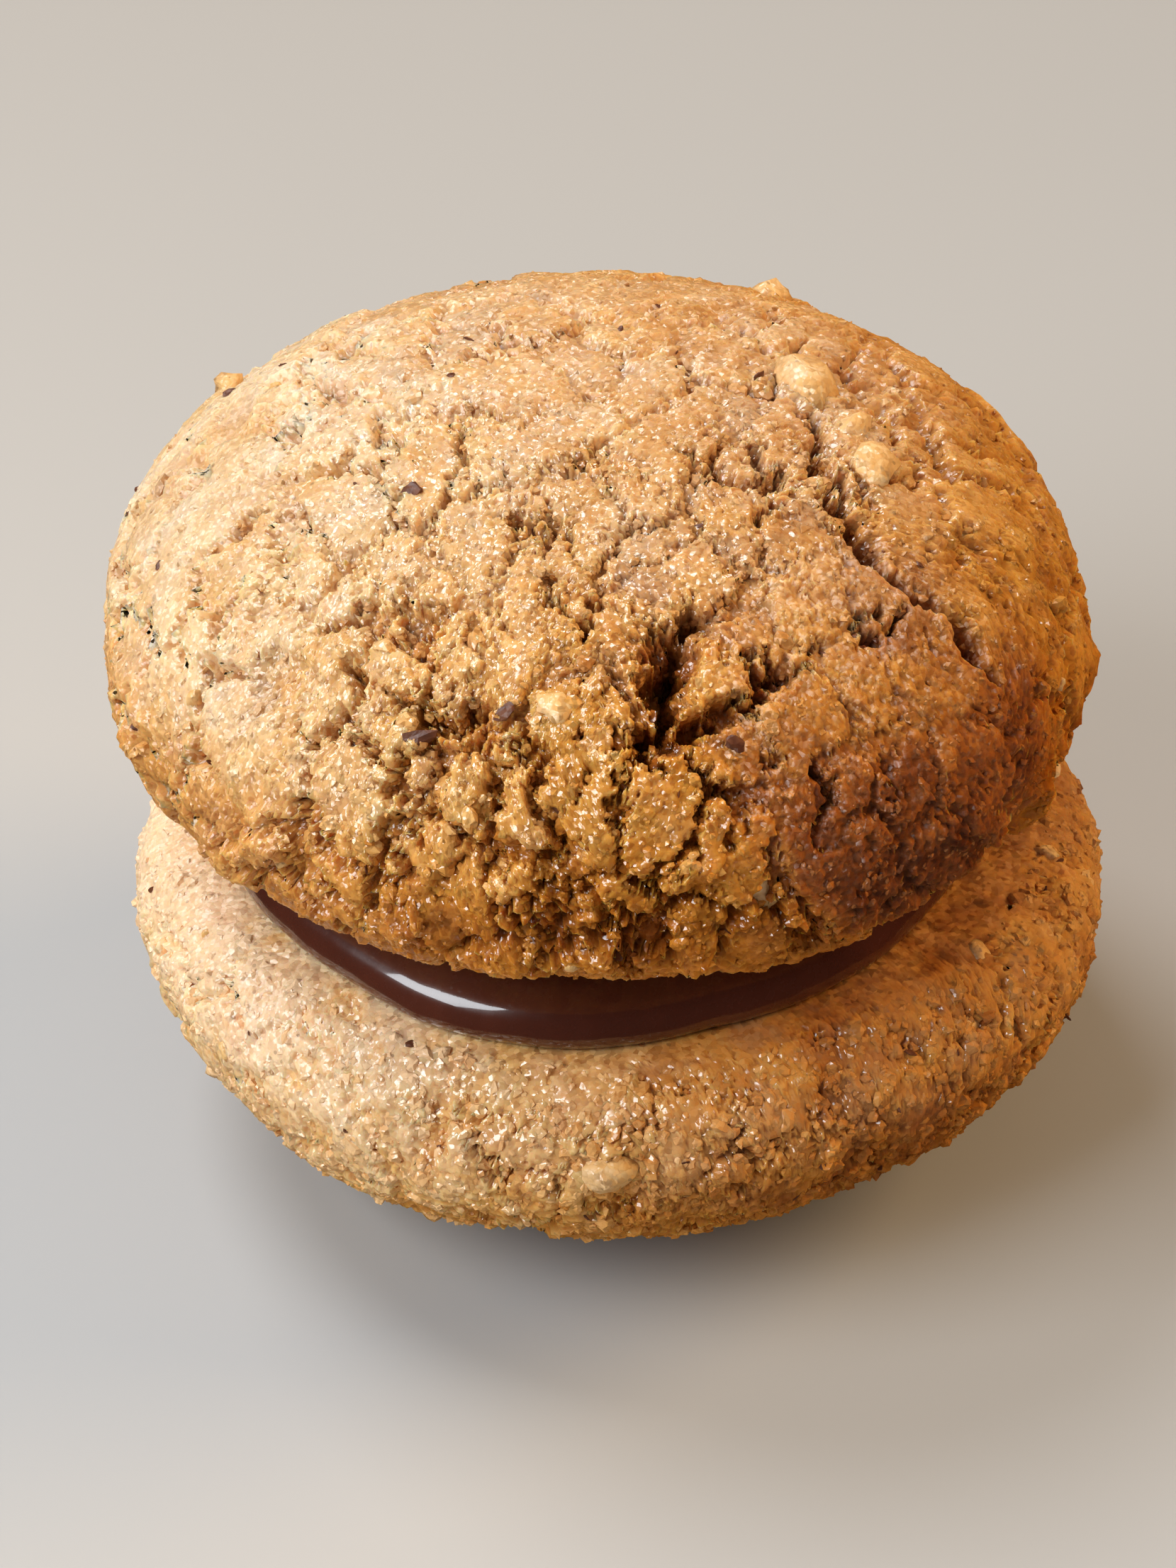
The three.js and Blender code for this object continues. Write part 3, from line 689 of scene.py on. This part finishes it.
def lumps_at(points, normals, sizes, kind, rng):
    """Joined copies of one lump: each is stretched by the kind's shape and its size, made uneven corner by
    corner, turned into a frame that leans from the normal, and raised by a share of its size. Also gives
    each corner's lump number."""
    corners, triangles = lump_shape(kind.splits)
    count = len(points)
    bulge = 1 + kind.uneven * rng.normal(size=(count, len(corners), 1))
    local = corners * bulge * np.array(kind.shape) * sizes[:, None, None]
    turned = np.einsum("njk,nvk->nvj", standing_frames(normals, kind.tilt, rng), local)
    placed = turned + (points + normals * (kind.rise * sizes)[:, None])[:, None, :]
    faces = triangles + len(corners) * np.arange(count)[:, None, None]
    return placed.reshape(-1, 3), faces.reshape(-1, 3), np.repeat(np.arange(count), len(corners))


def join(lumps):
    """Points and faces of several sets of lumps as one mesh, with the later faces counted on."""
    offsets = np.cumsum([0] + [len(points) for points, _, _ in lumps])
    points = np.vstack([points for points, _, _ in lumps])
    faces = np.vstack([faces + offset for (_, faces, _), offset in zip(lumps, offsets)])
    return points, faces


class Wire:
    """One output of a shader node. Arithmetic on it adds Math nodes, with a number or a wire on either
    side."""

    def __init__(self, finish, socket):
        self.finish = finish
        self.socket = socket

    def math(self, operation, a, b):
        return self.finish.node("ShaderNodeMath", {"operation": operation}, {0: a, 1: b})

    def __add__(self, other):
        return self.math("ADD", self, other)

    def __sub__(self, other):
        return self.math("SUBTRACT", self, other)

    def __rsub__(self, other):
        return self.math("SUBTRACT", other, self)

    def __mul__(self, other):
        return self.math("MULTIPLY", self, other)

    def __gt__(self, other):
        return self.math("GREATER_THAN", self, other)

    def __lt__(self, other):
        return self.math("LESS_THAN", self, other)

    __radd__ = __add__
    __rmul__ = __mul__


class Finish:
    """A material under construction: its nodes, and the Principled shader that they feed."""

    def __init__(self, name):
        self.material = bpy.data.materials.new(name)
        self.material.use_nodes = True
        self.tree = self.material.node_tree
        self.tree.nodes.clear()
        self.shader = self.tree.nodes.new("ShaderNodeBsdfPrincipled")
        output = self.tree.nodes.new("ShaderNodeOutputMaterial")
        self.tree.links.new(self.shader.outputs["BSDF"], output.inputs["Surface"])

    def put(self, node, sockets):
        """Values or wires put into a node's sockets."""
        for key, value in sockets.items():
            if isinstance(value, Wire):
                self.tree.links.new(value.socket, node.inputs[key])
            else:
                node.inputs[key].default_value = value

    def node(self, kind, settings=None, sockets=None, output=0):
        """One node of that type: its settings first, a ramp's stops among them, then its sockets."""
        node = self.tree.nodes.new(kind)
        for key, value in (settings or {}).items():
            if key == "stops":
                ramp = node.color_ramp.elements
                while len(ramp) < len(value):
                    ramp.new(0.5)
                for stop, (place, colour) in zip(ramp, value):
                    stop.position = place
                    stop.color = (*colour, 1)
            else:
                setattr(node, key, value)
        self.put(node, sockets or {})
        return Wire(self, node.outputs[output])

    def place(self):
        """The piece's own coordinates in millimetres."""
        metres = self.node("ShaderNodeTexCoord", output=3)
        return self.node("ShaderNodeVectorMath", {"operation": "SCALE"}, {"Vector": metres, "Scale": 1 / MM})

    def attribute(self, label):
        """A number that the piece keeps at each point."""
        return self.node("ShaderNodeAttribute", {"attribute_name": label}, output=2)

    def noise(self, size_mm, detail=3, roughness=0.55):
        """Noise from 0 to 1 with features of about that size."""
        sockets = {"Vector": self.place(), "Scale": 1 / size_mm, "Detail": detail, "Roughness": roughness}
        return self.node("ShaderNodeTexNoise", sockets=sockets)

    def speckle(self, size_mm):
        """Distance from the nearest of points scattered at about that spacing."""
        sockets = {"Vector": self.place(), "Scale": 1 / size_mm}
        return self.node("ShaderNodeTexVoronoi", sockets=sockets)

    def facets(self, size_mm):
        """Height in millimetres of small flat facets of about that size, each tilted its own random way:
        the way from the middle of the facet, times a random vector."""
        sockets = {"Vector": self.place(), "Scale": 1 / size_mm}
        tilt = self.node("ShaderNodeTexVoronoi", sockets=sockets, output=1)
        middle = self.node("ShaderNodeTexVoronoi", sockets=sockets, output=2)
        level = self.node("ShaderNodeVectorMath", {"operation": "SUBTRACT"}, {0: tilt, 1: (0.5, 0.5, 0.5)})
        way = self.node("ShaderNodeVectorMath", {"operation": "SUBTRACT"}, {0: self.place(), 1: middle})
        return self.node("ShaderNodeVectorMath", {"operation": "DOT_PRODUCT"}, {0: level, 1: way}, output=1)

    def ramp(self, value, stops):
        """The colour at that value along the stops."""
        return self.node("ShaderNodeValToRGB", {"stops": stops}, {"Fac": value})

    def mixed(self, share, a, b, blend="MIX"):
        """Colour a with a share of colour b."""
        settings = {"data_type": "RGBA", "blend_type": blend}
        return self.node("ShaderNodeMix", settings, {0: share, 6: a, 7: b}, output=2)

    def bump(self, height, strength, depth_mm):
        """The normal of a surface raised by that height."""
        sockets = {"Height": height, "Strength": strength, "Distance": depth_mm * MM}
        return self.node("ShaderNodeBump", sockets=sockets)

    def done(self, sockets):
        """The finished material, with these sockets of its shader."""
        self.put(self.shader, sockets)
        return self.material


def crumb_finish(name, form, browned, glow):
    """Baked nut crumb: golden on the crags, with an oily glint, and painted light and shade: darker brown in
    the cracks and on the right side, away from the light, a richer brown in shade and paler patches of
    painted sheen where light falls. The form gives the size and tilt of the glinting facets, and the colour
    of the sheen. browned shifts the whole towards brown, and glow is the share of light that passes through
    the crumb."""
    f = Finish(name)
    tone, sunk, dull, baked, pale, rich = (f.attribute(label) for label in CRUMB_FACTS)
    mottle = f.noise(SHADE.mottle_size)
    fine = f.noise(SHADE.fine_size, detail=2)
    value = SHADE.middle - browned + SHADE.tone * (tone - 0.5)
    value = value + SHADE.mottle * (mottle - 0.5) + SHADE.fine * (fine - 0.5)
    # Painted shade: darker in the sunk hollows and on the right side, away from the light.
    value = value - SHADE.sunk * sunk - SHADE.baked * (baked - SHADE.even_at)
    colour = f.ramp(value, CRUMB_STOPS)
    patches = f.noise(PATCH.size, detail=2)
    colour = f.mixed(PATCH.share * (patches > PATCH.over), colour, f.ramp(value, PATCH_STOPS))
    # Painted sheen: paler patches where pale is high, on the lit parts.
    veil = PAINTED_SHEEN_PATCH.share * f.noise(PAINTED_SHEEN_PATCH.size, detail=2) - PAINTED_SHEEN_PATCH.less
    colour = f.mixed(veil * pale, colour, (*form.veil, 1))
    # Painted shade: a richer brown where rich is high.
    colour = f.mixed(rich, colour, RICH_BROWN, "MULTIPLY")
    specks = SPECK.radius > f.speckle(SPECK.spacing)
    colour = f.mixed(SPECK.share * specks, colour, SPECK.colour)
    relief = form.glint * f.facets(form.facet) - DULL_GRAIN.height * dull * f.speckle(DULL_GRAIN.spacing)
    return f.done({
        "Base Color": colour,
        "Roughness": CRUMB_GLOSS.least + CRUMB_GLOSS.fine * fine + CRUMB_GLOSS.dull * dull,
        "Specular IOR Level": CRUMB_GLOSS.specular,
        "Subsurface Weight": glow,
        "Subsurface Radius": CRUMB_LIGHT.radius,
        "Subsurface Scale": CRUMB_LIGHT.scale,
        "Normal": f.bump(relief, 1.0, 1.0),
    })


def nut_skin_finish():
    """Dark, dry nut skin: a tone for each point along the stops, with a little mottling and fine
    wrinkles."""
    f = Finish("nut_skin")
    fine = f.noise(SKIN.fine_size, detail=4)
    value = f.attribute("tone") + SKIN.mottle * (fine - 0.5)
    return f.done({
        "Base Color": f.ramp(value, SKIN_STOPS),
        "Roughness": SKIN.rough + SKIN.rough_fine * fine,
        "Normal": f.bump(fine, SKIN.bump, SKIN.bump_depth),
    })


def chocolate_finish():
    """Set chocolate: dark brown with a faint bloom and fine ripples under a glossy skin."""
    f = Finish("chocolate")
    cloud = f.noise(CHOCOLATE.cloud_size)
    fine = f.noise(CHOCOLATE.fine_size, detail=3)
    return f.done({
        "Base Color": f.ramp(cloud, CHOCOLATE_STOPS),
        "Roughness": CHOCOLATE.rough + CHOCOLATE.rough_fine * fine,
        "Specular IOR Level": CHOCOLATE.specular,
        "Coat Weight": CHOCOLATE.coat + CHOCOLATE.coat_fine * fine,
        "Coat Roughness": CHOCOLATE.coat_rough,
        "Coat IOR": CHOCOLATE.coat_ior,
        "Normal": f.bump(cloud + CHOCOLATE.ripple * fine, CHOCOLATE.bump, CHOCOLATE.bump_depth),
    })


def smooth_path(corners, count):
    """A smooth curve through the corners, count points in all: on each stretch a cubic whose slope at a
    corner is half the step between that corner's two neighbours, with the end corners doubled."""
    corners = np.array(corners, float)
    padded = np.vstack([corners[:1], corners, corners[-1:]])
    at = np.linspace(0, len(corners) - 1, count)
    n = np.minimum(at.astype(int), len(corners) - 2)
    t = (at - n)[:, None]
    before, start, end, after = (padded[n + k] for k in range(4))
    in_slope, out_slope = (end - before) / 2, (after - start) / 2
    cubic = 2 * (start - end) + in_slope + out_slope
    square = 3 * (end - start) - 2 * in_slope - out_slope
    return ((cubic * t + square) * t + in_slope) * t + start


def filling_profile(high):
    """The filling's profile as (radius, height), from near the middle of its floor, round the side and
    back along its ceiling: a low foot, and a side that slopes in above it."""
    corners = [(FILLING.radius - inset * FILLING.foot, share * high) for inset, share in FILLING.side]
    side = smooth_path([(FILLING.radius - FILLING.tuck, 0), *corners], FILLING.side_points)
    inside = np.linspace(0, 1, FILLING.flat_points)[1:-1, None]
    floor = inside * side[0]
    ceiling = side[-1] * (1, 0) * inside[::-1] + (0, high)
    return np.vstack([floor, side, ceiling])


def filling_reach(azimuth):
    """How far the filling reaches at each azimuth: further on the left, furthest in one lobe left of the
    front, and with a small ripple all round."""
    lobe = (azimuth - np.radians(FILLING.lobe_azimuth)) / np.radians(FILLING.lobe_width)
    reach = 1 + FILLING.lobe_share * np.exp(-lobe**2)
    reach += FILLING.lean_share * np.cos(azimuth - np.radians(FILLING.lean_azimuth))
    return reach + FILLING.ripple_share * np.cos(FILLING.ripples * azimuth)


def filling_piece():
    """The chocolate disc: its profile carried round the axis, times the reach there, with two smooth
    noises on the radius, and closed by a fan of triangles in the middle of its floor and of its
    ceiling."""
    high = UPPER_FACE - LOWER_FACE
    profile = filling_profile(high)
    azimuth = np.linspace(-np.pi, np.pi, FILLING.round_points, endpoint=False)
    r = profile[:, 0, None] * filling_reach(azimuth)
    z = np.repeat(profile[:, 1, None], len(azimuth), 1)
    rings = np.stack([r * np.cos(azimuth), r * np.sin(azimuth), z], axis=-1).reshape(-1, 3)
    waver = sum(height * smooth_noise(rings, size, channel) for height, size, channel in FILLING.wavers)
    rings[:, :2] *= (1 + waver / FILLING.radius)[:, None]
    count = len(azimuth)
    rows = np.arange(len(profile) * count).reshape(-1, count)
    turned = np.roll(rows, -1, axis=1)
    quads = np.stack([rows[:-1], turned[:-1], turned[1:], rows[1:]], axis=-1).reshape(-1, 4)
    points = np.vstack([rings, [(0, 0, 0), (0, 0, high)]]) + (0, 0, LOWER_FACE)
    floor_fan = np.stack([turned[0], rows[0], np.full(count, len(rings))], axis=-1)
    ceiling_fan = np.stack([rows[-1], turned[-1], np.full(count, len(rings) + 1)], axis=-1)
    triangles = np.vstack([quads[:, :3], quads[:, [0, 2, 3]], floor_fan, ceiling_fan])
    piece = make_piece("chocolate", points, triangles, chocolate_finish())
    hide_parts("chocolate_filling")


def crust_piece(form):
    """One biscuit's crust, in place of its solid. Gives the crust's arrays, for what lies on it."""
    crust = crust_of(form)
    attributes = {label: getattr(crust, label) for label in CRUMB_FACTS}
    finish = crumb_finish(form.slot, form, form.browned, CRUST_GLOW)
    piece = make_piece(form.name + "_crust", crust.points, crust.quads, finish, attributes)
    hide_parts(form.node)
    return crust


def crumbs_piece(name, crust, finish, kind, count, sizes, rng):
    """Crumbs or grains sunk in the crust, most densely at the front, with fewer on the plate, in the cracks
    and on the calm side. A size is a random share, to a power, of the way from least to greatest."""
    shown = crust.open * (SCATTER.at_back + (1 - SCATTER.at_back) * crust.front)
    shown = shown * (1 - SCATTER.off_plate * crust.plate) * (1 - SCATTER.off_sunk * crust.sunk)
    points, _, near = places_on(crust, count, shown * (1 - crust.calm), rng)
    size = sizes[0] + (sizes[1] - sizes[0]) * rng.random(count) ** kind.mostly_small
    placed, faces, number = lumps_at(points, crust.normals[near], size, kind, rng)
    attributes = {label: getattr(crust, label)[near][number] for label in CRUMB_FACTS}
    tone = np.clip(crust.tone[near] + SCATTER.tone_spread * rng.normal(size=count), 0, 1)
    attributes["tone"] = tone[number]
    make_piece(name, placed, faces, finish, attributes, smooth=False)


def chips_on(form, crust, rows, chosen_kind, loose, loose_kind, rng):
    """Lumps at the chosen rows of (size, azimuth, lean), if any, and so many loose ones all over the
    crust."""
    lumps = []
    if rows:
        lumps.append(lumps_at(*chosen_places(form, rows), chosen_kind, rng))
    points, normals, _ = places_on(crust, loose, crust.open, rng)
    lumps.append(lumps_at(points, normals, rng.uniform(*loose_kind.sizes, loose), loose_kind, rng))
    return lumps


def nut_chips_piece(crusts, rng):
    """Chopped hazelnut on both biscuits."""
    finish = crumb_finish("hazelnut", LOWER, NUT_BROWNED, NUT_GLOW)
    lumps = []
    for form, crust in crusts:
        lumps += chips_on(form, crust, form.nuts, NUT_CHIP, form.loose_nuts, LOOSE_NUT, rng)
    points, faces = join(lumps)
    attributes = {label: np.full(len(points), value) for label, value in NUT_FACTS.items()}
    attributes["tone"] = NUT_TONE.least + NUT_TONE.span * rng.random(len(points))
    make_piece("nut_chips", points, faces, finish, attributes)


def nut_skin_piece(crusts, rng):
    """Flecks of dark nut skin on both biscuits."""
    finish = nut_skin_finish()
    lumps = []
    for form, crust in crusts:
        lumps += chips_on(form, crust, form.skins, NUT_SKIN, form.loose_skins, LOOSE_SKIN, rng)
    points, faces = join(lumps)
    tone = SKIN_TONE.least + SKIN_TONE.span * rng.random(len(points))
    make_piece("nut_skin_flecks", points, faces, finish, {"tone": tone}, smooth=False)


def cookie():
    """All the pieces of the cookie, with one source of random numbers for what is scattered."""
    rng = np.random.default_rng(SEED)
    top, lower = crust_piece(TOP), crust_piece(LOWER)
    filling_piece()
    browned = crumb_finish("browned_grains", TOP, TOP.grains_browned, 0)
    pale = crumb_finish("pale_grains", LOWER, LOWER.grains_browned, 0)
    crumbs_piece("upper_crumbs", top, browned, CRUMB, TOP.crumbs, TOP.crumb_sizes, rng)
    crumbs_piece("lower_crumbs", lower, pale, CRUMB, LOWER.crumbs, LOWER.crumb_sizes, rng)
    crumbs_piece("upper_grains", top, browned, GRAIN, TOP.grains, TOP.grain_sizes, rng)
    crumbs_piece("lower_grains", lower, pale, GRAIN, LOWER.grains, LOWER.grain_sizes, rng)
    crusts = [(TOP, top), (LOWER, lower)]
    nut_chips_piece(crusts, rng)
    nut_skin_piece(crusts, rng)


def floor_and_sky():
    """A pale floor, which glossy surfaces don't mirror, and an even sky, which they don't mirror
    either."""
    bpy.ops.mesh.primitive_plane_add(size=FLOOR.metres)
    floor = bpy.context.object
    floor.name = "floor"
    floor.visible_glossy = False
    finish = Finish("floor").done({"Base Color": FLOOR.colour, "Roughness": FLOOR.roughness})
    floor.data.materials.append(finish)
    sky = bpy.data.worlds.new("sky")
    bpy.context.scene.world = sky
    sky.use_nodes = True
    background = sky.node_tree.nodes["Background"]
    background.inputs["Color"].default_value = SKY.colour
    background.inputs["Strength"].default_value = SKY.strength
    sky.cycles_visibility.glossy = False


def put_lamp(name, light, way):
    """A lamp that shines along that way."""
    lamp = bpy.data.objects.new(name, light)
    lamp.rotation_euler = way.to_track_quat("-Z", "Y").to_euler()
    bpy.context.scene.collection.objects.link(lamp)
    return lamp


def lights():
    """A broad soft sun from above and behind, a warm one from the right, and a window at the front
    left."""
    for name, toward, width, strength, colour, in_gloss in SUNS:
        sun = bpy.data.lights.new(name, "SUN")
        sun.angle = width
        sun.energy = strength
        sun.color = colour
        put_lamp(name, sun, -Vector(toward)).visible_glossy = in_gloss
    window = bpy.data.lights.new("window", "AREA")
    window.size = WINDOW.width * MM
    window.energy = WINDOW.watts
    window.color = WINDOW.colour
    place = Vector(WINDOW.place) * MM
    put_lamp("window", window, Vector(WINDOW.aim) * MM - place).location = place


def photograph_camera():
    """The camera on the photograph's line of sight, with its roll and its field of view."""
    tilt, roll = np.radians([CAMERA.elevation, CAMERA.roll])
    back = Vector((0, -np.cos(tilt), np.sin(tilt)))
    right, up = Vector((1, 0, 0)), Vector((0, np.sin(tilt), np.cos(tilt)))
    across = right * np.cos(roll) - up * np.sin(roll)
    upright = right * np.sin(roll) + up * np.cos(roll)
    lens = bpy.data.cameras.new("photograph")
    lens.sensor_width = CAMERA.sensor
    lens.lens = CAMERA.sensor * CAMERA.focal_pixels / CAMERA.long_side
    lens.clip_start, lens.clip_end = CAMERA.clip
    camera = bpy.data.objects.new("photograph", lens)
    turn = Matrix((across, upright, back)).transposed().to_4x4()
    camera.matrix_world = Matrix.Translation((Vector(CAMERA.target) + back * CAMERA.distance) * MM) @ turn
    bpy.context.scene.collection.objects.link(camera)
    bpy.context.scene.camera = camera


cookie()
floor_and_sky()
lights()
photograph_camera()
bpy.context.scene.view_settings.view_transform = "Standard"
